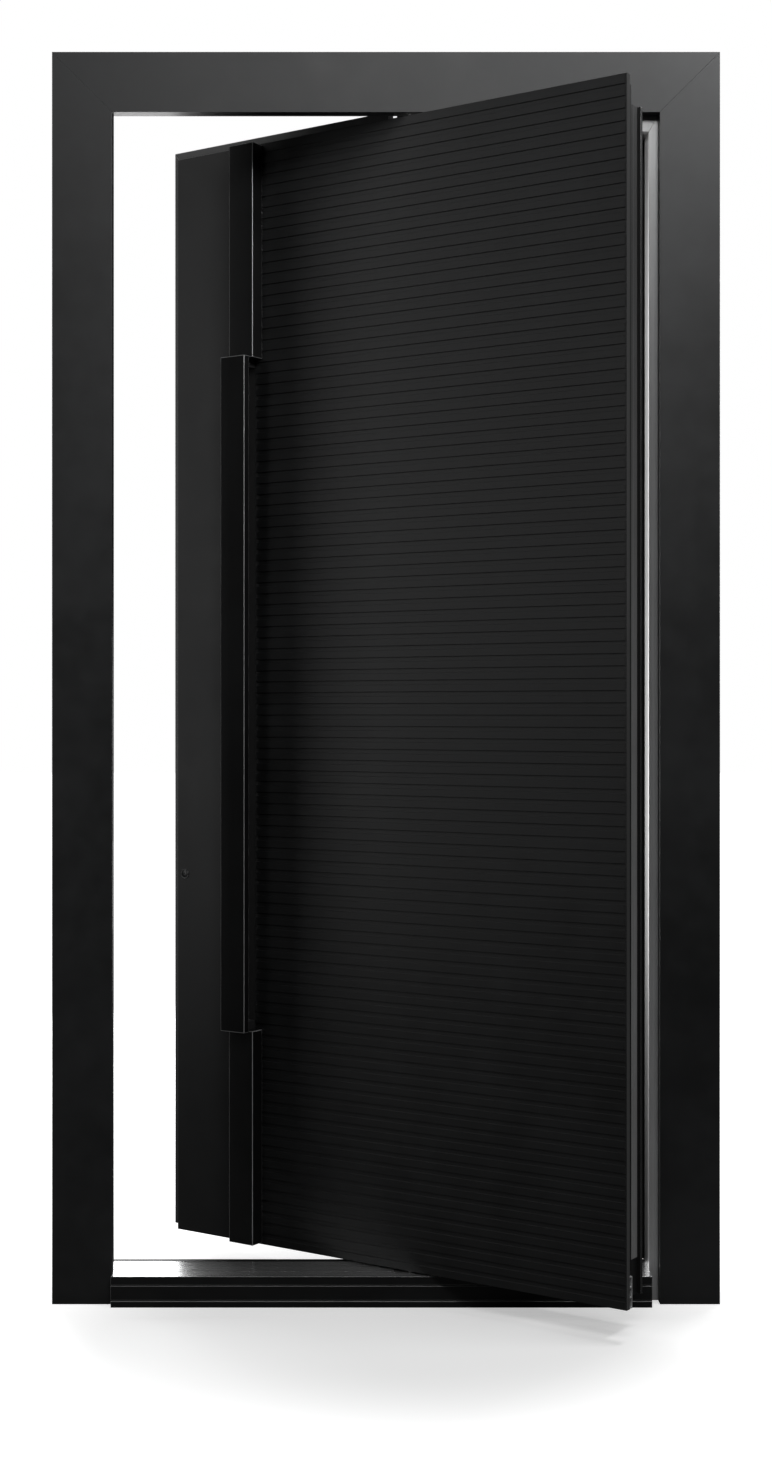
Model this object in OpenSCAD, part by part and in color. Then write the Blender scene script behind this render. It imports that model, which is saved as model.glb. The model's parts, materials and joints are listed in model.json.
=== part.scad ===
// Pivot door set: a thermally broken frame and threshold with one wide leaf that
// turns about a vertical pivot set off the middle of the opening.
//
// X runs along the wall, Y into the building, Z up. The origin is on the threshold's
// underside, midway between the jambs, in the plane of the frame's outer face.
// The leaf is drawn shut and then turned about its pivot to its standing angle.

/* [Frame] */
// Width over the outer sides of the jambs
frame_w = 1500; // [1200:10:1800]
// Height from the floor to the top of the head
frame_h = 2812; // [2200:4:3200]
// Width of the visible face of jambs and head
face_w = 135; // [100:1:160]
// Depth of the whole frame, outer face to inner face
frame_d = 140; // [124:1:160]
// Depth of the face profile, which stands as a lip round the opening
lip_d = 31; // [30:1:38]
// Depth of the inner profile
back_d = 31; // [20:1:36]
// How far the insulating web is set in from the outer sides
web_inset = 4; // [2:1:10]

/* [Stop on the free side] */
// How far the jamb stop reaches into the opening
stop_w = 20.5; // [16:0.5:24]
// How far the head stop hangs below the head
stop_h = 34.5; // [24:0.5:40]
// Shadow gap between the lip and the stop
stop_gap = 2; // [1:0.5:4]

/* [Threshold] */
// Height of the threshold
sill_h = 69.5; // [56:0.5:90]
// How far it stands out in front of the frame
sill_nose = 26; // [16:1:40]
// Depth of the front cap behind the frame's face
nose_d = 16; // [10:1:24]
// Depth of the inner thermal strip
sill_strip_d = 21; // [14:1:30]
// How far the inner side of the threshold stays in from the frame's inner face
sill_set_in = 19; // [0:1:30]
// Height of the base under the top plates
base_h = 48.5; // [34:0.5:50]
// Height of the lowest band, below the groove
band_h = 14; // [8:1:20]
// Depth and height of the grooves in the front
groove_d = 3; // [1:0.5:6]

/* [Leaf] */
// Gap between the outer panel and the jambs
leaf_gap = 5.5; // [5:0.5:8]
// Gap between the outer panel and the head
head_gap = 6.5; // [5:0.5:9]
// Gap between the leaf and the threshold
floor_gap = 5; // [5:0.5:12]
// Thickness of the outer panel
panel_t = 14; // [12:0.5:17]
// Thickness of the inner panel
inner_t = 8; // [4:1:12]
// How far the body's free edge is set in from the outer panel's edge
body_inset = 43; // [40:1:60]
// How far the inner panel reaches past the body at the free edge
inner_lap = 9; // [4:1:9]
// Gap between the top of the body and the head stop
body_top_gap = 5.5; // [5:0.5:12]
// Width of the stiles and height of the top rail
stile_w = 80; // [60:1:110]
// Height of the bottom rail
bottom_rail_h = 78; // [60:1:110]

/* [Ribs and trim] */
// Distance from one horizontal rib to the next
rib_pitch = 26; // [20:1:40]
// Height of the uppermost rib
rib_top_h = 21; // [12:1:40]
// Width of the groove between two ribs
rib_groove_w = 10; // [4:0.5:14]
// Depth of that groove
rib_groove_d = 3; // [1:0.5:3.5]
// Width of the smooth panel at the lock edge
lock_panel_w = 188; // [120:1:240]
// Width of the upright trim strips and of the pull bar
trim_w = 70; // [50:1:90]
// Width of the channel under the trim, where fingers reach behind the bar
channel_w = 50; // [36:1:60]
// How far the channel's floor lies behind the panel's face
channel_drop = 6; // [2:0.5:8]
// How far the trim strips stand out
trim_proud = 37; // [20:1:50]
// How far the strips stop short of the leaf's top and bottom
trim_short = 4; // [2:1:30]

/* [Pull bars] */
// Length of the pull bars
bar_l = 1582; // [1000:2:1900]
// Height of the bars' lower end above the floor
bar_z = 581; // [400:1:800]
// Thickness of the bars
bar_t = 18; // [12:1:30]
// How far the bars' outer faces stand off the panels
bar_proud = 69; // [55:1:90]
// Height and width of the blocks that carry a bar
block_h = 20; // [12:1:40]
// Width of those blocks
block_w = 44; // [20:1:48]

/* [Flange on the lock side] */
// How far the flange reaches past the outer panel's edge
flange_side_over = 44; // [30:1:50]
// How far it reaches above the outer panel
flange_top_over = 31; // [20:1:40]
// Room between the lip and the flange, where the seal lies
flange_room = 12; // [8:1:16]
// Thickness of the flange
flange_t = 20; // [10:1:24]
// Gap between the flange and the frame
flange_gap = 6.5; // [5:0.5:10]
// Where the top flange ends, left of the opening's middle
flange_end = 21; // [21:1:60]

/* [Pivot] */
// Distance of the pivot from the middle of the opening
pivot_x = 58; // [50:1:120]
// Distance of the pivot behind the outer face
pivot_y = 19; // [18:0.5:20]
// Radius of the pivot pins
pin_r = 8; // [5:0.5:8]
// Running clearance round a pin
pin_fit = 0.05; // [0.02:0.01:0.1]
// Angle at which the leaf stands open
open_angle = 34; // [0:1:40]

/* [Lock] */
// Height of the lock cylinder above the floor
lock_z = 938; // [800:1:1100]
// Distance of the cylinder from the leaf's edge
lock_in = 22.6; // [20:0.1:40]
// Radius of the cylinder's rose
lock_r = 13; // [10:0.5:16]

/* [Wall fixings] */
// Height of the lowest fixing
fix_z = 200; // [120:10:300]
// Distance of the highest fixing below the top of the frame
fix_top = 212; // [120:4:300]
// Fixings in each jamb
fix_count = 4; // [3:1:5]
// Distance of the head's fixings from the middle
fix_head_x = 400; // [200:10:550]
// Radius of the fixing holes
fix_r = 5.25; // [4:0.25:6.5]

/* [Hidden] */
$fn = 64;
eps = 0.01;
cut_over = 1;

// Frame
half_w = frame_w / 2;
open_x = half_w - face_w;
head_z = frame_h - face_w;
back_y = frame_d - back_d;
fix_pitch = (frame_h - fix_z - fix_top) / (fix_count - 1);
stop_x = open_x - stop_w;
stop_z = head_z - stop_h;
stop_y = lip_d + stop_gap;
sill_back = frame_d - sill_set_in;
strip_y = sill_back - sill_strip_d;

// Free room between the leaf and what it swings past
swing_gap = 5;

// Leaf, as it lies when shut
leaf_x = open_x - leaf_gap;
leaf_z0 = sill_h + floor_gap;
leaf_z1 = head_z - head_gap;
leaf_d = frame_d;
stile_in = 2;
body_y1 = leaf_d - inner_t;
body_x0 = -leaf_x + stile_in;
body_x1 = leaf_x - body_inset;
body_z1 = stop_z - body_top_gap;
rail_z1 = leaf_z0 + bottom_rail_h;
rail_z2 = body_z1 - stile_w;
flange_y = lip_d + flange_room;
flange_x = leaf_x + flange_side_over;
flange_z = leaf_z1 + flange_top_over;
rebate_x = flange_x + flange_gap;
rebate_z = flange_z + flange_gap;
mitre_x = open_x + rebate_z - head_z;
// The infill under the head starts where the flange can't reach it with the leaf square open
infill_clear = 8;
infill_x = pivot_x + (flange_y + flange_t - pivot_y) + infill_clear;

// Trim and bars
trim_x = -leaf_x + lock_panel_w;
rib_x = trim_x + channel_w;
groove_count = floor((leaf_z1 - leaf_z0 - rib_top_h - rib_groove_w) / rib_pitch) + 1;
groove_slope = 1;

// Pivot fittings
bearing_l = 80;
bearing_wall = 1;
bearing_d = 2 * (lip_d - pivot_y - bearing_wall);
bearing_h = 40;
sill_bearing_h = sill_h - base_h;
shoe_l = 60;
shoe_wall = 4;
shoe_y0 = pivot_y - pin_r - shoe_wall;
shoe_y1 = 45;
shoe_h = 40;
housing_l = 66;
housing_d = 29;
pin_relief = 2;
pin_end_gap = 0.3;
bore_end = 2;

// Seals
seal_t = flange_room - swing_gap;
seal_w = 14;
lip_seal_in = 16;
lip_seal_x = open_x + lip_seal_in;
edge_seal_t = stop_y - swing_gap - panel_t;
edge_seal_w = 10;
edge_seal_in = 4;
brush_w = 10.5;
brush_d = 14;

// Lock
plate_l = 200;
plate_w = 20;
plate_t = 2;
faceplate_in = 2;
strike_in = 4;
rose_proud = 1.5;
lock_fit = 0.2;
lock_x = -leaf_x + lock_in;

// The bottom profile is an E in section, open towards the inside of the leaf
profile_h = 67;
profile_gap = 0.5;
profile_d = edge_seal_t - profile_gap;
profile_chambers = 3;
profile_wall = 3;
profile_in = 1;

frame_black = [0.13, 0.135, 0.14];
leaf_black = [0.11, 0.115, 0.12];
profile_grey = [0.3, 0.31, 0.32];
satin_metal = [0.68, 0.69, 0.7];
seal_black = [0.05, 0.05, 0.055];

module box(x0, x1, y0, y1, z0, z1) {
    translate([x0, y0, z0]) cube([x1 - x0, y1 - y0, z1 - z0]);
}

// A plate that lies in the plane of the wall, with its outline given as X and Z
module upright(points, y0, y1) {
    translate([0, y1, 0]) rotate([90, 0, 0]) linear_extrude(height = y1 - y0) polygon(points);
}

// A bar along X, with its section given as Y and Z
module along_x(points, x0, x1) {
    translate([x0, 0, 0]) rotate([90, 0, 90]) linear_extrude(height = x1 - x0) polygon(points);
}

// Turns a shut leaf piece about the pivot to its standing angle
module swung() {
    translate([pivot_x, pivot_y, 0]) rotate([0, 0, -open_angle])
        translate([-pivot_x, -pivot_y, 0]) children();
}

module pin_at(z0, z1, r) {
    translate([pivot_x, pivot_y, z0]) cylinder(r = r, h = z1 - z0);
}

// --- Frame ---

module jamb(side, inner_x, corner_z, y0, y1, outer_inset = 0) {
    upright([
        [side * (half_w - outer_inset), 0],
        [side * inner_x, 0],
        [side * inner_x, corner_z],
        [side * (half_w - outer_inset), frame_h - outer_inset],
    ], y0, y1);
}

// The head's inner layers clear the flange, and meet the free jamb on its mitre line
module high_head(y0, y1, outer_inset = 0) {
    upright([
        [-half_w + outer_inset, frame_h - outer_inset],
        [-rebate_x, rebate_z],
        [mitre_x, rebate_z],
        [half_w - outer_inset, frame_h - outer_inset],
    ], y0, y1);
}

module wall_fixings(side) {
    for (i = [0:fix_count - 1])
        translate([side * half_w, back_y + back_d / 2, fix_z + i * fix_pitch])
            rotate([0, -side * 90, 0]) translate([0, 0, -cut_over])
                cylinder(r = fix_r, h = face_w + 2 * cut_over);
}

module head_fixings() {
    for (side = [-1, 1])
        translate([side * fix_head_x, back_y + back_d / 2, head_z - cut_over])
            cylinder(r = fix_r, h = face_w + 2 * cut_over);
}

module left_jamb_face() {
    color(frame_black) difference() {
        jamb(-1, open_x, head_z, 0, lip_d);
        strike_block(eps);
    }
}

module right_jamb_face() {
    color(frame_black) jamb(1, open_x, head_z, 0, lip_d);
}

module head_face() {
    color(frame_black) difference() {
        upright([
            [-half_w, frame_h], [-open_x, head_z], [open_x, head_z], [half_w, frame_h],
        ], 0, lip_d);
        top_bearing_block(eps);
    }
}

module left_jamb_web() {
    color(seal_black) jamb(-1, rebate_x, rebate_z, lip_d, back_y, web_inset);
}

module right_jamb_web() {
    color(seal_black) jamb(1, open_x, head_z, lip_d, back_y, web_inset);
}

module head_web() {
    color(seal_black) high_head(lip_d, back_y, web_inset);
}

module left_jamb_back() {
    color(frame_black) difference() {
        jamb(-1, rebate_x, rebate_z, back_y, frame_d);
        wall_fixings(-1);
    }
}

module right_jamb_back() {
    color(frame_black) difference() {
        jamb(1, open_x, head_z, back_y, frame_d);
        wall_fixings(1);
    }
}

module head_back() {
    color(frame_black) difference() {
        high_head(back_y, frame_d);
        head_fixings();
    }
}

// On the free side an infill closes the head down to the lip's lower edge
module head_infill() {
    color(frame_black) difference() {
        upright([
            [infill_x, rebate_z], [infill_x, head_z], [open_x, head_z], [mitre_x, rebate_z],
        ], lip_d, frame_d);
        head_fixings();
    }
}

// The two stops meet in a mitre at the upper corner
module jamb_stop() {
    color(satin_metal) upright([
        [open_x, 0], [stop_x, 0], [stop_x, stop_z], [open_x, head_z],
    ], stop_y, frame_d);
}

module head_stop() {
    color(satin_metal) upright([
        [open_x, head_z], [stop_x, stop_z], [infill_x, stop_z], [infill_x, head_z],
    ], stop_y, frame_d);
}

// One seal lies behind the lip on the lock side, and a brush closes the stop's inner edge
module jamb_seal() {
    color(seal_black) {
        box(-lip_seal_x - seal_w, -lip_seal_x, lip_d, lip_d + seal_t, sill_h, rebate_z);
        box(stop_x - brush_w, stop_x, frame_d - brush_d, frame_d, sill_h, stop_z);
    }
}

module head_seal() {
    color(seal_black) box(
        -lip_seal_x, pivot_x - housing_l / 2, lip_d, lip_d + seal_t,
        head_z + seal_t, head_z + seal_t + seal_w);
}

// --- Threshold ---

// Between the jambs in front, and out into the lock side's rebate behind the lip
module sill_piece(points, y0, y1) {
    along_x(points, -open_x, stop_x);
    if (y1 > lip_d) box(-rebate_x, -open_x, max(y0, lip_d), y1, points[0][1], points[2][1]);
}

module threshold_base() {
    color(leaf_black) sill_piece([
        [-sill_nose, 0],
        [sill_back, 0],
        [sill_back, base_h],
        [-sill_nose, base_h],
        [-sill_nose, band_h + groove_d],
        [-sill_nose + groove_d, band_h + groove_d],
        [-sill_nose + groove_d, band_h],
        [-sill_nose, band_h],
    ], -sill_nose, sill_back);
}

module threshold_nose() {
    color(profile_grey) difference() {
        along_x([
            [-sill_nose + groove_d, base_h],
            [nose_d, base_h],
            [nose_d, sill_h],
            [-sill_nose, sill_h],
            [-sill_nose, base_h + groove_d],
            [-sill_nose + groove_d, base_h + groove_d],
        ], -open_x, stop_x);
        bottom_bearing_block(eps);
    }
}

module threshold_plate() {
    color(satin_metal) difference() {
        sill_piece([
            [nose_d, base_h], [strip_y, base_h], [strip_y, sill_h], [nose_d, sill_h],
        ], nose_d, strip_y);
        bottom_bearing_block(eps);
    }
}

module threshold_strip() {
    color(seal_black) sill_piece([
        [strip_y, base_h], [sill_back, base_h], [sill_back, sill_h], [strip_y, sill_h],
    ], strip_y, sill_back);
}

// --- Pivot and strike on the frame ---

module top_bearing_block(grow = 0) {
    box(pivot_x - bearing_l / 2, pivot_x + bearing_l / 2,
        pivot_y - bearing_d / 2, pivot_y + bearing_d / 2, head_z - grow, head_z + bearing_h);
}

module top_pivot_bearing() {
    color(satin_metal) union() {
        top_bearing_block();
        pin_at(body_z1 - shoe_h + bore_end + pin_end_gap, head_z + eps, pin_r);
    }
}

// Fills the rebate behind the lip over the pivot, inside the circle that the flange sweeps
module top_pivot_housing() {
    color(seal_black) box(
        pivot_x - housing_l / 2, pivot_x + housing_l / 2, lip_d, lip_d + housing_d, head_z, rebate_z);
}

module bottom_bearing_block(grow = 0) {
    box(pivot_x - bearing_l / 2, pivot_x + bearing_l / 2,
        pivot_y - bearing_d / 2, pivot_y + bearing_d / 2, base_h, sill_h + grow);
}

module bottom_pivot_bearing() {
    color(satin_metal) union() {
        bottom_bearing_block();
        pin_at(sill_h - eps, leaf_z0 + shoe_h - bore_end - pin_end_gap, pin_r);
    }
}

module strike_block(grow = 0) {
    box(-open_x - plate_t, -open_x + grow, lip_d - plate_w - strike_in, lip_d - strike_in,
        lock_z - plate_l / 2, lock_z + plate_l / 2);
}

module strike_plate() {
    color(satin_metal) strike_block();
}

// --- Leaf: outer panels ---

module lock_hole(y0, y1) {
    translate([lock_x, y0 - cut_over, lock_z]) rotate([-90, 0, 0])
        cylinder(r = lock_r + lock_fit, h = y1 - y0 + 2 * cut_over);
}

module lock_panel() {
    color(leaf_black) swung() difference() {
        box(-leaf_x, trim_x, 0, panel_t, leaf_z0, leaf_z1);
        lock_hole(0, panel_t);
    }
}

module handle_channel() {
    color(seal_black) swung() box(trim_x, rib_x, channel_drop, panel_t, leaf_z0, leaf_z1);
}

// Each rib is flat, and a shallow groove with sloping sides parts it from the next
module rib_section() {
    grooves = [for (i = [groove_count - 1:-1:0]) leaf_z1 - rib_top_h - i * rib_pitch];
    polygon(concat(
        [[panel_t, leaf_z1], [panel_t, leaf_z0], [0, leaf_z0]],
        [for (top = grooves, p = [
            [0, top - rib_groove_w],
            [rib_groove_d, top - rib_groove_w + groove_slope],
            [rib_groove_d, top - groove_slope],
            [0, top],
        ]) p],
        [[0, leaf_z1]]
    ));
}

module ribbed_panel() {
    color(leaf_black) swung() difference() {
        translate([rib_x, 0, 0]) rotate([90, 0, 90]) linear_extrude(height = leaf_x - rib_x)
            rib_section();
        shoe_block(leaf_z0, leaf_z0 + shoe_h);
        shoe_block(body_z1 - shoe_h, body_z1);
        pin_at(body_z1 - eps, leaf_z1 + cut_over, pin_r + pin_relief);
    }
}

// --- Leaf: trim and pull bars ---

module trim_strip(z0, z1) {
    color(leaf_black) swung() difference() {
        box(trim_x, trim_x + trim_w, -trim_proud, channel_drop, z0, z1);
        box(rib_x, trim_x + trim_w + cut_over, 0, channel_drop + cut_over,
            z0 - cut_over, z1 + cut_over);
    }
}

module strip_upper() {
    trim_strip(bar_z + bar_l, leaf_z1 - trim_short);
}

module strip_lower() {
    trim_strip(leaf_z0 + trim_short, bar_z);
}

// A flat bar, drawn as it stands in front of a face that looks along -Y
module bar(face_y, dir) {
    y0 = face_y - dir * bar_proud;
    y1 = y0 + dir * bar_t;
    box(trim_x, trim_x + trim_w, min(y0, y1), max(y0, y1), bar_z, bar_z + bar_l);
}

module bar_blocks(face_y, seat_y, dir) {
    y0 = face_y - dir * (bar_proud - bar_t);
    for (z = [bar_z, bar_z + bar_l - block_h])
        box(trim_x + (channel_w - block_w) / 2, trim_x + (channel_w + block_w) / 2,
            min(y0, seat_y), max(y0, seat_y), z, z + block_h);
}

module pull_bar() {
    color(leaf_black) swung() bar(0, 1);
}

module pull_bar_blocks() {
    color(profile_grey) swung() {
        bar_blocks(0, channel_drop, 1);
        bar_blocks(leaf_d, leaf_d, -1);
    }
}

module inner_pull_bar() {
    color(leaf_black) swung() bar(leaf_d, -1);
}

// --- Leaf: body ---

module shoe_block(z0, z1) {
    box(pivot_x - shoe_l / 2, pivot_x + shoe_l / 2, shoe_y0, shoe_y1, z0, z1);
}

module lock_stile() {
    color(profile_grey) swung() difference() {
        box(body_x0, body_x0 + stile_w, panel_t, body_y1, rail_z1, body_z1);
        lock_hole(panel_t, body_y1);
        faceplate_block(eps);
    }
}

module free_stile() {
    color(profile_grey) swung() box(body_x1 - stile_w, body_x1, panel_t, body_y1, rail_z1, body_z1);
}

module top_rail() {
    color(profile_grey) swung() difference() {
        box(body_x0 + stile_w, body_x1 - stile_w, panel_t, body_y1, rail_z2, body_z1);
        shoe_block(body_z1 - shoe_h, body_z1 + eps);
    }
}

module bottom_rail() {
    color(leaf_black) swung() difference() {
        box(body_x0, body_x1, panel_t + profile_d, body_y1, leaf_z0, rail_z1);
        shoe_block(leaf_z0 - eps, leaf_z0 + shoe_h);
    }
}

module leaf_core() {
    color(seal_black) swung()
        box(body_x0 + stile_w, body_x1 - stile_w, panel_t, body_y1, rail_z1, rail_z2);
}

// An open chamber profile along the foot of the outer panel
module bottom_profile() {
    y0 = panel_t;
    y1 = panel_t + profile_d;
    chamber_h = (profile_h - (profile_chambers + 1) * profile_wall) / profile_chambers;
    color(satin_metal) swung() difference() {
        box(-leaf_x + profile_in, leaf_x - profile_in, y0, y1, leaf_z0, leaf_z0 + profile_h);
        for (i = [0:profile_chambers - 1])
            box(-leaf_x, leaf_x, y0 + profile_wall, y1 - profile_wall,
                leaf_z0 + profile_wall + i * (chamber_h + profile_wall),
                leaf_z0 + (i + 1) * (chamber_h + profile_wall));
        shoe_block(leaf_z0 - eps, leaf_z0 + shoe_h);
    }
}

module flange_side() {
    color(profile_grey) swung() upright([
        [-flange_x, leaf_z0], [body_x0, leaf_z0], [body_x0, body_z1], [-flange_x, flange_z],
    ], flange_y, flange_y + flange_t);
}

module flange_top() {
    color(profile_grey) swung() upright([
        [-flange_x, flange_z], [body_x0, body_z1], [-flange_end, body_z1], [-flange_end, flange_z],
    ], flange_y, flange_y + flange_t);
}

module inner_panel() {
    color(leaf_black) swung() difference() {
        box(-flange_x + inner_lap, body_x1 + inner_lap, body_y1, leaf_d, leaf_z0, body_z1);
        lock_hole(body_y1, leaf_d);
    }
}

module free_edge_seal() {
    color(profile_grey) swung()
        box(leaf_x - edge_seal_in - edge_seal_w, leaf_x - edge_seal_in,
            panel_t, panel_t + edge_seal_t, rail_z1, body_z1);
}

module top_edge_seal() {
    color(profile_grey) swung()
        box(infill_x, leaf_x - edge_seal_in,
            panel_t, panel_t + edge_seal_t, body_z1, stop_z + edge_seal_w);
}

// --- Leaf: lock and pivot shoes ---

module faceplate_block(grow = 0) {
    box(body_x0 - grow, body_x0 + plate_t, panel_t + faceplate_in, panel_t + faceplate_in + plate_w,
        lock_z - plate_l / 2, lock_z + plate_l / 2);
}

module lock_faceplate() {
    color(satin_metal) swung() faceplate_block();
}

module lock_cylinder() {
    color(profile_grey) swung() translate([lock_x, -rose_proud, lock_z]) rotate([-90, 0, 0])
        cylinder(r = lock_r, h = leaf_d + 2 * rose_proud);
}

module pivot_shoe(z0, bore_z0, bore_z1) {
    color(satin_metal) swung() difference() {
        shoe_block(z0, z0 + shoe_h);
        pin_at(bore_z0, bore_z1, pin_r + pin_fit);
    }
}

module top_pivot_shoe() {
    pivot_shoe(body_z1 - shoe_h, body_z1 - shoe_h + bore_end, body_z1 + cut_over);
}

module bottom_pivot_shoe() {
    pivot_shoe(leaf_z0, leaf_z0 - cut_over, leaf_z0 + shoe_h - bore_end);
}

left_jamb_face();
right_jamb_face();
head_face();
left_jamb_web();
right_jamb_web();
head_web();
left_jamb_back();
right_jamb_back();
head_back();
head_infill();
jamb_stop();
head_stop();
jamb_seal();
head_seal();
threshold_base();
threshold_nose();
threshold_plate();
threshold_strip();
top_pivot_bearing();
top_pivot_housing();
bottom_pivot_bearing();
strike_plate();
lock_panel();
handle_channel();
ribbed_panel();
strip_upper();
strip_lower();
pull_bar();
pull_bar_blocks();
lock_stile();
free_stile();
top_rail();
bottom_rail();
leaf_core();
bottom_profile();
flange_side();
flange_top();
inner_panel();
free_edge_seal();
top_edge_seal();
lock_faceplate();
lock_cylinder();
inner_pull_bar();
top_pivot_shoe();
bottom_pivot_shoe();
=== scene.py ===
"""Looks of the pivot door set: finishes, edges, ribs, fittings and a plain studio.

Metres throughout, in the frame's own axes. Leaf pieces are built as if the leaf were
shut and are then swung to its standing angle about the pivot.
"""
import json
import math

import bmesh
import bpy
from mathutils import Matrix, Vector


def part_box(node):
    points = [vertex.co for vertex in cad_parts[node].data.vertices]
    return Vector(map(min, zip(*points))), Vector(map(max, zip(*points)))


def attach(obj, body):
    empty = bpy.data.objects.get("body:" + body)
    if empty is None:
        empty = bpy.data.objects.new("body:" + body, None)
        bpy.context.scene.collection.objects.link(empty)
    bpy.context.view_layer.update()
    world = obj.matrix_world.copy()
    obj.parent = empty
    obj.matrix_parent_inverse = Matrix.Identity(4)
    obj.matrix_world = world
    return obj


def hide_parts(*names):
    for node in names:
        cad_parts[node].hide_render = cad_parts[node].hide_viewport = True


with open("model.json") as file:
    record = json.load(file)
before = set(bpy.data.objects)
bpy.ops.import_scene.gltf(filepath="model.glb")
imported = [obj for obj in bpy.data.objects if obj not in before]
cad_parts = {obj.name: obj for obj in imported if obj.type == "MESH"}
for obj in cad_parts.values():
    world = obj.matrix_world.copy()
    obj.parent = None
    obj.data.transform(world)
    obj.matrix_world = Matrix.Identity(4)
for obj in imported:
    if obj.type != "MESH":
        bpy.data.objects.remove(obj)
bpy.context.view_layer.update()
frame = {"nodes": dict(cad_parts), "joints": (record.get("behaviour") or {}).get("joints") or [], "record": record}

MM = 0.001

# --- The leaf's own axes -------------------------------------------------------------

hinge = frame["joints"][0]
PIVOT = Vector(hinge["pos_m"])
STANDING_ANGLE = math.radians(-hinge["range_deg"][0])
SWING = (
    Matrix.Translation(PIVOT)
    @ Matrix.Rotation(-STANDING_ANGLE, 4, "Z")
    @ Matrix.Translation(-PIVOT)
)
LEAF_FRONT = (SWING.to_3x3() @ Vector((0, -1, 0))).normalized()
LEAF_FREE_SIDE = (SWING.to_3x3() @ Vector((1, 0, 0))).normalized()
FACING = 0.9  # a face looks along a direction when their dot product is above this
SLOT_OF = {part["node"]: part["material_slot"] for part in frame["record"]["subparts"]}
LEAF_NODES = set(frame["record"]["behaviour"]["bodies"]["leaf"])


def shut_box(node):
    """Lowest and highest corner of a leaf node in the shut leaf's axes."""
    back = SWING.inverted()
    points = [back @ v.co for v in frame["nodes"][node].data.vertices]
    low = Vector(min(p[i] for p in points) for i in range(3))
    high = Vector(max(p[i] for p in points) for i in range(3))
    return low, high


# --- Camera ---------------------------------------------------------------------------

EYE_HEIGHT = 1.330
EYE_DISTANCE = 4.590
LENS = 50
SENSOR = 36
HORIZON_ABOVE_MIDDLE = 24 / 1472


def make_camera():
    data = bpy.data.cameras.new("camera")
    data.lens = LENS
    data.sensor_width = SENSOR
    data.shift_y = -HORIZON_ABOVE_MIDDLE
    camera = bpy.data.objects.new("camera", data)
    camera.location = (0, -EYE_DISTANCE, EYE_HEIGHT)
    camera.rotation_euler = (math.radians(90), 0, 0)
    bpy.context.scene.collection.objects.link(camera)
    bpy.context.scene.camera = camera


# --- Shader maths ---------------------------------------------------------------------


class Wire:
    """A socket in a finish, or a plain number, that Python's operators join with Math nodes."""

    def __init__(self, finish, socket):
        self.finish = finish
        self.socket = socket

    def maths(self, operation, *others):
        settings = {"operation": operation}
        return self.finish.add("Math", settings, dict(enumerate((self, *others))))

    def __add__(self, other):
        return self.maths("ADD", other)

    def __sub__(self, other):
        return self.maths("SUBTRACT", other)

    def __rsub__(self, other):
        return self.finish.add("Math", {"operation": "SUBTRACT"}, {0: other, 1: self})

    def __mul__(self, other):
        return self.maths("MULTIPLY", other)

    __radd__ = __add__

    def above(self, level, width):
        """0 below level, 1 above level + width, smooth between."""
        sockets = {"Value": self, "From Min": level, "From Max": level + width}
        return self.finish.add("MapRange", {"interpolation_type": "SMOOTHSTEP"}, sockets)


class Finish:
    """One material and the short cuts that build its node graph."""

    def __init__(self, name):
        self.material = bpy.data.materials.new(name)
        self.material.use_nodes = True
        self.tree = self.material.node_tree
        self.tree.nodes.clear()
        self.place = self.add("TexCoord", out="Object")

    def add(self, kind, settings=None, sockets=None, out=0):
        """A new node. Its settings are made first, then its sockets get values or links."""
        node = self.tree.nodes.new("ShaderNode" + kind)
        for key, value in (settings or {}).items():
            setattr(node, key, value)
        for key, value in (sockets or {}).items():
            if isinstance(value, Wire):
                self.tree.links.new(value.socket, node.inputs[key])
            else:
                node.inputs[key].default_value = value
        return Wire(self, node.outputs[out]) if len(node.outputs) else node

    def noise(self, size, detail=2, stretch=(1, 1, 1), roughness=0.5):
        """Noise from 0 to 1, whose blotches are about size metres across."""
        where = self.place
        if stretch != (1, 1, 1):
            where = self.add("Mapping", None, {"Vector": where, "Scale": stretch})
        sockets = {"Vector": where, "Scale": 1 / size, "Detail": detail, "Roughness": roughness}
        return self.add("TexNoise", None, sockets, out="Fac")

    def blend(self, factor, first, second):
        """A colour between two colours."""
        colours = [(*c, 1) if isinstance(c, tuple) else c for c in (first, second)]
        sockets = {0: factor, 6: colours[0], 7: colours[1]}
        return self.add("Mix", {"data_type": "RGBA"}, sockets, out=2)

    def bump(self, height, depth, normal=None):
        sockets = {"Height": height, "Distance": depth, "Strength": 1.0}
        if normal:
            sockets["Normal"] = normal
        return self.add("Bump", None, sockets)

    def surface(self, **sockets):
        """The shader itself. Keyword names are the shader's sockets, with _ for a space."""
        named = {key.replace("_", " "): value for key, value in sockets.items()}
        shader = self.add("BsdfPrincipled", None, named)
        self.add("OutputMaterial", None, {"Surface": shader})
        return self.material

    @property
    def height(self):
        """Height above the floor, in metres."""
        return self.add("SeparateXYZ", None, {0: self.place}, out="Z")


def grey(level, warmth=0.0):
    """A near-neutral colour, cooler for negative warmth."""
    return (level * (1 + warmth), level, level * (1 - warmth))


# --- Finishes -------------------------------------------------------------------------

# Squeezed axes draw the lines in a metal out along an upright or a level profile
UPRIGHT = (1, 1, 0.004)
LEVEL = (0.004, 1, 1)
BRUSHED = (1, 1, 0.02)
# Painted shade on the stop's side: the depth where it begins, and the depth over which it reaches near black
STOP_SHADE_START = 0.036
STOP_SHADE_BLEND = 0.028

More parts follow.
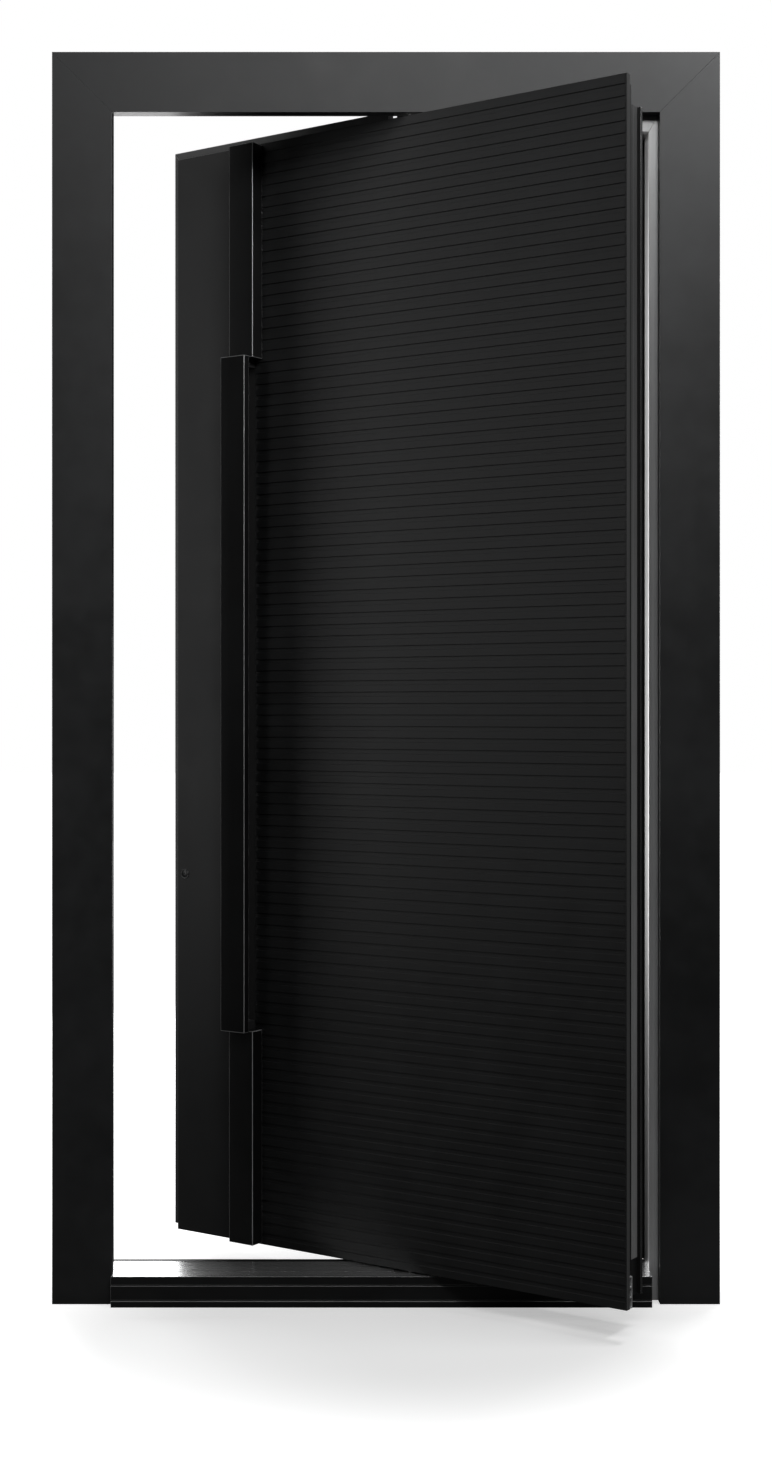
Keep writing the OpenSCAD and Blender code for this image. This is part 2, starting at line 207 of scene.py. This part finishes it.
def powder_coat(name, level, roughness):
    """Fine-textured matt powder coat: cloudy in tone, with a fine orange peel."""
    f = Finish(name)
    clouds = f.noise(0.45, detail=4, roughness=0.6)
    blotches = f.noise(0.06, detail=3)
    grain = f.noise(0.0011, detail=2)
    peel = f.noise(0.0045, detail=1)
    dust = 1 - f.height.above(0.0, 0.35)
    tone = clouds * 0.7 + blotches * 0.3
    colour = f.blend(tone.above(0.3, 0.4), grey(level * 0.7, -0.03), grey(level * 1.5, -0.04))
    colour = f.blend(dust * grain * 0.25, colour, grey(level * 2.2, 0.02))
    gloss = roughness + (tone - 0.5) * 0.3 + (grain - 0.5) * 0.08
    normal = f.bump(grain, 0.05 * MM, f.bump(peel, 0.05 * MM))
    return f.surface(Base_Color=colour, Roughness=gloss, Normal=normal, IOR=1.5)


def extruded_metal(name, level, roughness, stretch, metallic=1.0, painted_top_level=1.0):
    """Anodised extrusion: faint die lines along its length and a soft satin sheen.

    The last argument sets how pale its head is against its foot: painted shade that darkens it towards the top.
    """
    f = Finish(name)
    lines = f.noise(0.0016, detail=3, stretch=stretch)
    bands = f.noise(0.012, detail=2, stretch=stretch)
    clouds = f.noise(0.2, detail=3)
    tone = lines * 0.35 + bands * 0.3 + clouds * 0.35
    colour = f.blend(tone.above(0.3, 0.4), grey(level * 0.88, 0.0), grey(level * 1.12, -0.01))
    # Painted shade: the colour blends towards black going up from 0.1 m to 2.5 m above the floor
    if painted_top_level != 1:
        high = f.height.above(0.1, 2.4)
        colour = f.blend(high * (1 - painted_top_level), colour, grey(0.0))
    gloss = roughness + (bands - 0.5) * 0.1 + (lines - 0.5) * 0.1
    normal = f.bump(lines, 0.02 * MM)
    return f.surface(Base_Color=colour, Roughness=gloss, Metallic=metallic, Normal=normal)


def brushed_steel(name):
    f = Finish(name)
    lines = f.noise(0.0006, detail=2, stretch=BRUSHED)
    smears = f.noise(0.03, detail=3)
    colour = f.blend(smears, grey(0.38, 0.01), grey(0.52, 0.01))
    gloss = 0.3 + lines * 0.15 + smears * 0.1
    normal = f.bump(lines, 0.01 * MM)
    return f.surface(Base_Color=colour, Roughness=gloss, Metallic=1.0, Normal=normal)


def rubber(name, level):
    """Sealing rubber with a slight bloom."""
    f = Finish(name)
    bloom = f.noise(0.04, detail=4)
    grain = f.noise(0.0008, detail=2)
    colour = f.blend(bloom.above(0.4, 0.4), grey(level), grey(level * 1.7))
    gloss = 0.62 + bloom * 0.2
    normal = f.bump(grain, 0.03 * MM)
    return f.surface(Base_Color=colour, Roughness=gloss, Normal=normal)


def moulded_plastic(name, level):
    f = Finish(name)
    grain = f.noise(0.0007, detail=2)
    clouds = f.noise(0.08, detail=3)
    colour = f.blend(clouds, grey(level * 0.8), grey(level * 1.3))
    gloss = 0.5 + clouds * 0.15
    normal = f.bump(grain, 0.03 * MM)
    return f.surface(Base_Color=colour, Roughness=gloss, Normal=normal)


def shaded_stop_side(name):
    """The side of the stop: satin at the front, then painted shade that deepens to near black further back."""
    f = Finish(name)
    depth = f.add("SeparateXYZ", None, {0: f.place}, out="Y")
    # Painted shade: darker and less metallic the deeper the face lies
    side_shade = depth.above(STOP_SHADE_START, STOP_SHADE_BLEND)
    lines = f.noise(0.0016, detail=3, stretch=UPRIGHT)
    colour = f.blend(side_shade, grey(0.5), grey(0.008))
    gloss = 0.4 + lines * 0.1
    metal = 0.6 - side_shade * 0.6
    normal = f.bump(lines, 0.02 * MM)
    return f.surface(Base_Color=colour, Roughness=gloss, Metallic=metal, Normal=normal)


FINISHES = {
    "frame_coat": powder_coat("frame_coat", 0.020, 0.46),
    "leaf_coat": powder_coat("leaf_coat", 0.011, 0.44),
    "grey_profile": extruded_metal("grey_profile", 0.10, 0.42, UPRIGHT, metallic=0.7),
    "satin_profile": extruded_metal("satin_profile", 0.62, 0.36, UPRIGHT),
    "steel": brushed_steel("steel"),
    "web_plastic": moulded_plastic("web_plastic", 0.006),
    "seal": rubber("seal", 0.005),
    "foam": moulded_plastic("foam", 0.05),
}
# The last numbers here darken these profiles towards the top: painted shade
STILE_GREY = extruded_metal("stile_grey", 0.55, 0.45, UPRIGHT, metallic=0.15, painted_top_level=0.1)
STOP_SATIN = extruded_metal("stop_satin", 0.90, 0.36, UPRIGHT, metallic=0.45, painted_top_level=0.4)
BRIGHT_CUT = extruded_metal("bright_cut", 0.72, 0.32, LEVEL, metallic=0.2)
ROSE_BLACK = powder_coat("rose_black", 0.02, 0.22)
# Pale metal on the rounded edges of the pull bars and trim strips: painted highlight lines along them
PAINTED_BAR_EDGE_HIGHLIGHT = extruded_metal("painted_bar_edge_highlight", 0.85, 0.48, UPRIGHT, metallic=0.7)
# Pale metal on the rounded edges of the leaf's panels and flanges: painted highlight lines along them
PAINTED_LEAF_EDGE_HIGHLIGHT = extruded_metal("painted_leaf_edge_highlight", 0.45, 0.46, UPRIGHT, metallic=0.6)
# Pale metal on the rounded edges of the dark threshold: painted highlight lines along them
PAINTED_SILL_EDGE_HIGHLIGHT = extruded_metal("painted_sill_edge_highlight", 0.40, 0.45, LEVEL, metallic=0.5)
BAR_COAT = powder_coat("bar_coat", 0.006, 0.5)
# A lighter finish on the ribbed panel's free-side end faces: painted highlight, with painted shade towards the top
PAINTED_PANEL_END_LIGHT = extruded_metal("painted_panel_end_light", 0.16, 0.42, UPRIGHT, metallic=0.3, painted_top_level=0.3)
# Paler metal on the rounded edges of the frame's faces: painted highlight lines along them
PAINTED_FRAME_EDGE_HIGHLIGHT = extruded_metal("painted_frame_edge_highlight", 0.07, 0.40, UPRIGHT, metallic=0.4)
SHADED_STOP_SIDE = shaded_stop_side("shaded_stop_side")
SATIN_SILL = extruded_metal("satin_sill", 0.70, 0.26, LEVEL, metallic=0.85)
DARK_SILL = powder_coat("dark_sill", 0.012, 0.34)


# --- Making pieces --------------------------------------------------------------------

SHARP_ANGLE = math.radians(25)
SHORTEST_EDGE = 6 * MM
WELD = 0.01 * MM
FLAT_ANGLE = math.radians(1)
TURN_STEPS = 48

def place(name, mesh, body, slot, finish=None, stands_for=()):
    """Turns a mesh into a piece that rides on a body."""
    piece = bpy.data.objects.new(name, mesh)
    bpy.context.scene.collection.objects.link(piece)
    mesh.materials.append(finish or FINISHES[slot])
    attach(piece, body)
    if stands_for:
        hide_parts(*stands_for)
    return piece


def smooth_edges(mesh, angle=40):
    """Round edges shade smoothly, and flats stay flat."""
    mesh.shade_smooth()
    mesh.set_sharp_from_angle(angle=math.radians(angle))


def even_normals(piece):
    modifier = piece.modifiers.new("even_normals", "WEIGHTED_NORMAL")
    modifier.keep_sharp = True
    modifier.weight = 100


def round_off(bm, radius, segments):
    """Rounds every sharp edge that is long enough to be an outer edge, as the second material."""
    edges = [
        e
        for e in bm.edges
        if len(e.link_faces) == 2
        and e.calc_face_angle() > SHARP_ANGLE
        and e.calc_length() > SHORTEST_EDGE
    ]
    bmesh.ops.bevel(
        bm,
        geom=edges,
        offset=radius,
        segments=segments,
        profile=0.5,
        affect="EDGES",
        clamp_overlap=True,
        material=1,
    )


def softened(node, radius, segments=2, finish=None, edge_finish=None):
    """A copy of a CAD node with its edges rounded as a real profile's are."""
    bm = bmesh.new()
    bm.from_mesh(frame["nodes"][node].data)
    bmesh.ops.remove_doubles(bm, verts=bm.verts, dist=WELD)
    bmesh.ops.dissolve_limit(bm, angle_limit=FLAT_ANGLE, verts=bm.verts, edges=bm.edges)
    round_off(bm, radius, segments)
    mesh = bpy.data.meshes.new(node + "_piece")
    bm.to_mesh(mesh)
    bm.free()
    smooth_edges(mesh)
    body = "leaf" if node in LEAF_NODES else "frame"
    piece = place(node + "_piece", mesh, body, SLOT_OF[node], finish, (node,))
    mesh.materials.append(edge_finish or mesh.materials[0])
    even_normals(piece)
    return piece


def finish_faces(piece, finish, chosen):
    """Gives the faces that chosen(face) picks a finish of their own."""
    piece.data.materials.append(finish)
    for face in piece.data.polygons:
        if chosen(face):
            face.material_index = len(piece.data.materials) - 1


def behind(depth):
    """Picks the faces whose middle lies deeper than depth."""
    return lambda face: face.center.y > depth


def facing(direction):
    """Picks the faces that look along a direction."""
    return lambda face: face.normal.dot(direction) > FACING


def mesh_from(name, verts, faces):
    """A mesh drawn in the shut leaf's axes, swung to the leaf's standing angle."""
    mesh = bpy.data.meshes.new(name)
    mesh.from_pydata([tuple(v) for v in verts], [], faces)
    mesh.transform(SWING)
    bm = bmesh.new()
    bm.from_mesh(mesh)
    bmesh.ops.recalc_face_normals(bm, faces=bm.faces)
    bm.to_mesh(mesh)
    bm.free()
    return mesh


def arc(centre, radius, start, end, steps):
    """Points on an arc, with angles in degrees."""
    return [
        (
            centre[0] + radius * math.cos(math.radians(start + (end - start) * i / steps)),
            centre[1] + radius * math.sin(math.radians(start + (end - start) * i / steps)),
        )
        for i in range(steps + 1)
    ]


def extruded(name, outlines):
    """Bars along one axis. Each outline is (axis, points, start, end), drawn in the other two axes."""
    verts, faces = [], []
    for axis, points, start, end in outlines:
        first, count = len(verts), len(points)
        for level in (start, end):
            for a, b in points:
                verts.append(((level, a, b), (a, level, b), (a, b, level))["XYZ".index(axis)])
        faces.append(tuple(range(first, first + count)))
        faces.append(tuple(range(first + 2 * count - 1, first + count - 1, -1)))
        for i in range(count):
            j = (i + 1) % count
            faces.append((first + i, first + j, first + count + j, first + count + i))
    return mesh_from(name, verts, faces)


def turned(profile, centre):
    """Points and faces of a shape turned about the depth axis. The profile is (radius, depth) pairs."""
    steps = TURN_STEPS
    verts, faces = [], []
    for radius, depth in profile:
        for i in range(steps):
            turn = 2 * math.pi * i / steps
            x = centre[0] + radius * math.cos(turn)
            z = centre[2] + radius * math.sin(turn)
            verts.append((x, centre[1] + depth, z))
    for ring in range(len(profile) - 1):
        for i in range(steps):
            a, b = ring * steps + i, ring * steps + (i + 1) % steps
            faces.append((a, b, b + steps, a + steps))
    faces.append(tuple(range(steps)))
    faces.append(tuple(range((len(profile) - 1) * steps, len(profile) * steps)))
    return verts, faces


def joined(name, shapes):
    """One mesh from several (points, faces) shapes."""
    verts, faces = [], []
    for shape_verts, shape_faces in shapes:
        first = len(verts)
        verts.extend(shape_verts)
        faces.extend(tuple(first + i for i in face) for face in shape_faces)
    return mesh_from(name, verts, faces)


# --- Ribbed panel ---------------------------------------------------------------------

RIB_PITCH = 26 * MM
RIB_TOP = 21 * MM
GROOVE_WIDTH = 10 * MM
GROOVE_DEPTH = 3 * MM
RIB_ROUND = 0.7 * MM
EDGE_TRIM = 3.2 * MM
EDGE_TRIM_GAP = 0.8 * MM


def groove_outline(top, front):
    """One groove from its upper lip to its lower lip, as depth and height."""
    r = RIB_ROUND
    bottom = top - GROOVE_WIDTH
    floor = front + GROOVE_DEPTH
    upper_lip = arc((front + r, top + r), r, 180, 270, 3)
    upper_root = arc((floor - r, top - r), r, 90, 0, 2)
    lower_root = arc((floor - r, bottom + r), r, 0, -90, 2)
    lower_lip = arc((front + r, bottom - r), r, 90, 180, 3)
    return upper_lip + upper_root + lower_root + lower_lip


def make_ribbed_panel():
    low, high = shut_box("ribbed_panel")
    outline = [(low.y + RIB_ROUND, high.z), (low.y, high.z - RIB_ROUND)]
    top = high.z - RIB_TOP
    while top - GROOVE_WIDTH > low.z:
        outline += groove_outline(top, low.y)
        top -= RIB_PITCH
    outline += [(low.y, low.z + RIB_ROUND), (low.y + RIB_ROUND, low.z)]
    verts, faces = [], []

    def bar(points, x0, x1):
        first = len(verts)
        for y, z in points:
            verts.extend([(x0, y, z), (x1, y, z), (x1, high.y, z), (x0, high.y, z)])
        for i in range(len(points) - 1):
            a, b = first + 4 * i, first + 4 * (i + 1)
            for k in range(4):
                n = (k + 1) % 4
                faces.append((a + k, a + n, b + n, b + k))
        faces.append((first, first + 3, first + 2, first + 1))
        last = first + 4 * (len(points) - 1)
        faces.append((last, last + 1, last + 2, last + 3))

    bar(outline, low.x, high.x - EDGE_TRIM - EDGE_TRIM_GAP)
    plain = [outline[0], outline[1], outline[-2], outline[-1]]
    bar(plain, high.x - EDGE_TRIM, high.x)
    mesh = mesh_from("ribbed_panel_piece", verts, faces)
    smooth_edges(mesh, 35)
    piece = place("ribbed_panel_piece", mesh, "leaf", "leaf_coat", None, ("ribbed_panel",))
    # The panel's faces towards the leaf's free side take the painted highlight
    finish_faces(piece, PAINTED_PANEL_END_LIGHT, facing(LEAF_FREE_SIDE))
    even_normals(piece)


# --- Free edge of the leaf ------------------------------------------------------------

STILE_FLUTES = (0.026, 0.040, 0.056, 0.072, 0.086, 0.0905, 0.096, 0.104, 0.110)
FLUTE_WIDTH = 1.8 * MM
FLUTE_DEPTH = 1.2 * MM


def make_free_stile():
    """The stile's free side carries fine flutes along its whole height."""
    low, high = shut_box("free_stile")
    outline = [(low.x, low.y), (high.x, low.y)]
    for flute in STILE_FLUTES:
        start = low.y + flute
        outline += [
            (high.x, start),
            (high.x - FLUTE_DEPTH, start + FLUTE_WIDTH * 0.2),
            (high.x - FLUTE_DEPTH, start + FLUTE_WIDTH * 0.8),
            (high.x, start + FLUTE_WIDTH),
        ]
    outline += [(high.x, high.y), (low.x, high.y)]
    mesh = extruded("free_stile_piece", [("Z", outline, low.z, high.z)])
    smooth_edges(mesh, 30)
    place("free_stile_piece", mesh, "leaf", "grey_profile", STILE_GREY, ("free_stile",))


PROFILE_WALL = 2.4 * MM
PRONG_HOOK = 3.2 * MM
PRONGS = 4


def make_bottom_profile():
    """An open E-shaped extrusion along the foot, with its prongs towards the outer panel."""
    low, high = shut_box("bottom_profile")
    shoe_low, shoe_high = shut_box("bottom_pivot_shoe")
    wall, hook = PROFILE_WALL, PRONG_HOOK
    step = (high.z - low.z - wall) / (PRONGS - 1)
    outline = [(high.y, high.z), (high.y, low.z)]
    for i in range(PRONGS):
        z0 = low.z + i * step
        z1 = z0 + wall
        tip = low.y
        if i == 0:
            outline += [(tip, z0), (tip, z1 + hook), (tip + wall, z1 + hook), (tip + wall, z1)]
        elif i == PRONGS - 1:
            outline += [(tip + wall, z0), (tip + wall, z0 - hook), (tip, z0 - hook), (tip, z1)]
        else:
            outline += [(tip, z0), (tip, z1)]
        if i < PRONGS - 1:
            outline += [(high.y - wall, z1), (high.y - wall, z0 + step)]
    runs = [("X", outline, low.x, shoe_low.x), ("X", outline, shoe_high.x, high.x)]
    mesh = extruded("bottom_profile_piece", runs)
    smooth_edges(mesh, 30)
    place("bottom_profile_piece", mesh, "leaf", "satin_profile", BRIGHT_CUT, ("bottom_profile",))


# --- Lock -----------------------------------------------------------------------------

ROSE_RADIUS = 13 * MM
CORE_RADIUS = 8.6 * MM
KEYWAY_HEIGHT = 8 * MM
KEYWAY_WIDTH = 1.4 * MM


def rose_profile(face, inwards):
    """A rose with a domed rim, a shallow step and the cylinder's plug in its middle."""
    r, plug = ROSE_RADIUS, CORE_RADIUS
    steps = [
        (0.2 * MM, 0.5),
        (plug - 0.5 * MM, 0.5),
        (plug, 0.7),
        (plug + 0.2 * MM, 1.1),
        (plug + 0.8 * MM, 1.1),
        (plug + 1.2 * MM, 0.35),
        (r - 1.4 * MM, 0.0),
        (r - 0.5 * MM, 0.3),
        (r - 0.1 * MM, 0.9),
        (r, 1.6),
        (r, 4.0),
    ]
    return [(radius, face + inwards * depth * MM) for radius, depth in steps]


def keyway_shade(x, z, face, inwards):
    """The slot a key goes into, drawn as a dark sliver a hair proud of the plug: painted shade where the slot's
    depth lies.
    """
    w, h = KEYWAY_WIDTH / 2, KEYWAY_HEIGHT / 2
    points = arc((x, z + h - w), w, 0, 180, 6) + arc((x, z - h + w), w, 180, 360, 6)
    return ("Y", [(a, b) for a, b in points], face + inwards * 0.4 * MM, face + inwards * 0.8 * MM)


def make_lock_cylinder():
    low, high = shut_box("lock_cylinder")
    x, z = (low.x + high.x) / 2, (low.z + high.z) / 2
    shapes = [
        turned(rose_profile(low.y, 1), (x, 0, z)),
        turned(rose_profile(high.y, -1), (x, 0, z)),
    ]
    mesh = joined("lock_cylinder_piece", shapes)
    smooth_edges(mesh, 50)
    place("lock_cylinder_piece", mesh, "leaf", SLOT_OF["lock_cylinder"], ROSE_BLACK, ("lock_cylinder",))
    # Dark slivers on the plugs: painted shade for the key slots
    slots = [keyway_shade(x, z, low.y, 1), keyway_shade(x, z, high.y, -1)]
    place("keyway_shades", extruded("keyway_shades", slots), "leaf", SLOT_OF["lock_cylinder"], FINISHES["seal"])


# --- Studio ---------------------------------------------------------------------------

FLOOR_REACH = 40
FLOOR_CENTRE = (0.05, -0.1, 0)
FLOOR_OVAL = (0.8, 0.85, 1)
FLOOR_TONE = 0.12
FLOOR_SHOWN_TONE = 0.8
FLOOR_GLOW = 0.45
MELT_START = 0.3
MELT_WIDTH = 0.8
MELT_GLOW = 0.9
ROOM_LIGHT = 0.01
BACKDROP_WHITE = 1.0


def make_floor():
    """A pale floor. Away from the door the camera sees it melt into the white backdrop."""
    mesh = bpy.data.meshes.new("floor")
    r = FLOOR_REACH
    corners = [(-r, -r, 0), (r, -r, 0), (r, r, 0), (-r, r, 0)]
    mesh.from_pydata(corners, [], [(0, 1, 2, 3)])
    floor = bpy.data.objects.new("floor", mesh)
    bpy.context.scene.collection.objects.link(floor)
    f = Finish("floor")
    away = f.add("VectorMath", {"operation": "SUBTRACT"}, {0: f.place, 1: FLOOR_CENTRE})
    away = f.add("VectorMath", {"operation": "MULTIPLY"}, {0: away, 1: FLOOR_OVAL})
    distance = f.add("VectorMath", {"operation": "LENGTH"}, {0: away}, out="Value")
    melt = distance.above(MELT_START, MELT_WIDTH)
    shown = f.add("LightPath", out="Is Camera Ray")
    tone = f.blend(shown, grey(FLOOR_TONE), grey(FLOOR_SHOWN_TONE))
    paint = f.add("BsdfDiffuse", None, {"Color": tone})
    strength = shown * (FLOOR_GLOW + melt * MELT_GLOW)
    glow = f.add("Emission", None, {"Color": (1, 1, 1, 1), "Strength": strength})
    both = f.add("AddShader", None, {0: paint, 1: glow})
    f.add("OutputMaterial", None, {"Surface": both})
    mesh.materials.append(f.material)


def make_world():
    """Almost no light from the room, and a plain white backdrop for the camera."""
    world = bpy.data.worlds.new("studio")
    bpy.context.scene.world = world
    world.use_nodes = True
    tree = world.node_tree
    tree.nodes.clear()
    path = tree.nodes.new("ShaderNodeLightPath")
    soft = tree.nodes.new("ShaderNodeBackground")
    soft.inputs["Color"].default_value = (1, 1, 1, 1)
    soft.inputs["Strength"].default_value = ROOM_LIGHT
    white = tree.nodes.new("ShaderNodeBackground")
    white.inputs["Color"].default_value = (1, 1, 1, 1)
    white.inputs["Strength"].default_value = BACKDROP_WHITE
    mix = tree.nodes.new("ShaderNodeMixShader")
    out = tree.nodes.new("ShaderNodeOutputWorld")
    tree.links.new(path.outputs["Is Camera Ray"], mix.inputs[0])
    tree.links.new(soft.outputs[0], mix.inputs[1])
    tree.links.new(white.outputs[0], mix.inputs[2])
    tree.links.new(mix.outputs[0], out.inputs[0])


def make_lamp(name, at, towards, size, power, shown=True):
    """A flat lamp of size (width, height). The camera doesn't see it where shown is False."""
    data = bpy.data.lights.new(name, "AREA")
    data.shape = "RECTANGLE"
    data.size, data.size_y = size
    data.energy = power
    lamp = bpy.data.objects.new(name, data)
    lamp.location = at
    lamp.rotation_euler = (Vector(towards) - Vector(at)).to_track_quat("-Z", "Y").to_euler()
    lamp.visible_camera = shown
    bpy.context.scene.collection.objects.link(lamp)


# --- The whole scene ------------------------------------------------------------------

COAT_RADIUS = 0.8 * MM
BAR_RADIUS = 1.2 * MM
FITTING_RADIUS = 0.4 * MM
STOP_RADIUS = 0.6 * MM
SILL_RADIUS = 0.7 * MM
PLATE_RADIUS = 0.5 * MM
STOP_FRONT_DEPTH = 1 * MM

make_camera()
make_world()
make_floor()
make_lamp("grazing_lamp", (1.3, -0.55, 3.5), (0.6, 0.0, 2.3), (0.8, 0.4), 25)
make_lamp("high_lamp", (0.3, -3.6, 4.2), (0.2, 0.0, 2.2), (2.4, 1.0), 57)
make_lamp("left_softbox", (-3.3, -0.7, 1.7), (-0.3, 0.2, 1.5), (1.0, 2.6), 10)
make_lamp("left_front_lamp", (-3.3, -2.6, 2.2), (-0.1, 0.1, 1.7), (1.0, 2.2), 6)
make_lamp("back_card", (-0.9, 3.2, 0.9), (-0.3, 0.0, 0.3), (3.0, 1.4), 16, shown=False)
make_lamp("back_lamp", (-1.7, 4.2, 1.9), (0.0, 0.2, 1.5), (2.0, 3.2), 110, shown=False)
make_lamp("back_right_lamp", (2.8, 3.4, 2.4), (0.6, 0.1, 1.5), (1.4, 2.0), 60, shown=False)
make_lamp("left_high_lamp", (-2.6, -0.6, 3.6), (-0.3, 0.2, 2.2), (1.0, 1.0), 5)

for node, part in frame["nodes"].items():
    part.data.materials.clear()
    part.data.materials.append(FINISHES[SLOT_OF[node]])

# The frame faces' rounded edges take a paler finish that paints their highlight lines
for node in ("left_jamb_face", "right_jamb_face", "head_face"):
    softened(node, COAT_RADIUS, edge_finish=PAINTED_FRAME_EDGE_HIGHLIGHT)
# The leaf panels' and flanges' rounded edges take a pale finish that paints their highlight lines
for node in ("lock_panel", "flange_side", "flange_top"):
    softened(node, COAT_RADIUS, edge_finish=PAINTED_LEAF_EDGE_HIGHLIGHT)
inner = softened("inner_panel", COAT_RADIUS, edge_finish=PAINTED_LEAF_EDGE_HIGHLIGHT)
# The inner panel's forward faces take the near-black seal rubber: painted shade on the rim that stands out past
# the leaf's side
finish_faces(inner, FINISHES["seal"], facing(LEAF_FRONT))
# The bars' and strips' rounded edges take a pale finish that paints their highlight lines
for node in ("strip_upper", "strip_lower", "pull_bar", "inner_pull_bar"):
    softened(node, BAR_RADIUS, segments=3, finish=BAR_COAT, edge_finish=PAINTED_BAR_EDGE_HIGHLIGHT)
for node in ("left_jamb_back", "right_jamb_back", "head_back", "head_infill", "pull_bar_blocks"):
    softened(node, COAT_RADIUS)
for node in ("lock_stile", "bottom_rail", "lock_faceplate", "strike_plate"):
    softened(node, FITTING_RADIUS)
stop_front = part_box("jamb_stop")[0].y
for node in ("jamb_stop", "head_stop"):
    stop = softened(node, STOP_RADIUS, finish=STOP_SATIN)
    # The stop's faces behind its front take the painted shade
    finish_faces(stop, SHADED_STOP_SIDE, behind(stop_front + STOP_FRONT_DEPTH))
# The threshold's rounded edges take a pale finish that paints their highlight lines
softened("threshold_base", SILL_RADIUS, finish=DARK_SILL, edge_finish=PAINTED_SILL_EDGE_HIGHLIGHT)
nose = softened("threshold_nose", SILL_RADIUS, finish=DARK_SILL, edge_finish=PAINTED_SILL_EDGE_HIGHLIGHT)
finish_faces(nose, SATIN_SILL, facing(Vector((0, 0, 1))))
softened("threshold_plate", PLATE_RADIUS, finish=SATIN_SILL)
softened("threshold_strip", COAT_RADIUS)
make_free_stile()
make_bottom_profile()
make_lock_cylinder()
make_ribbed_panel()

bpy.context.scene.view_settings.view_transform = "Standard"
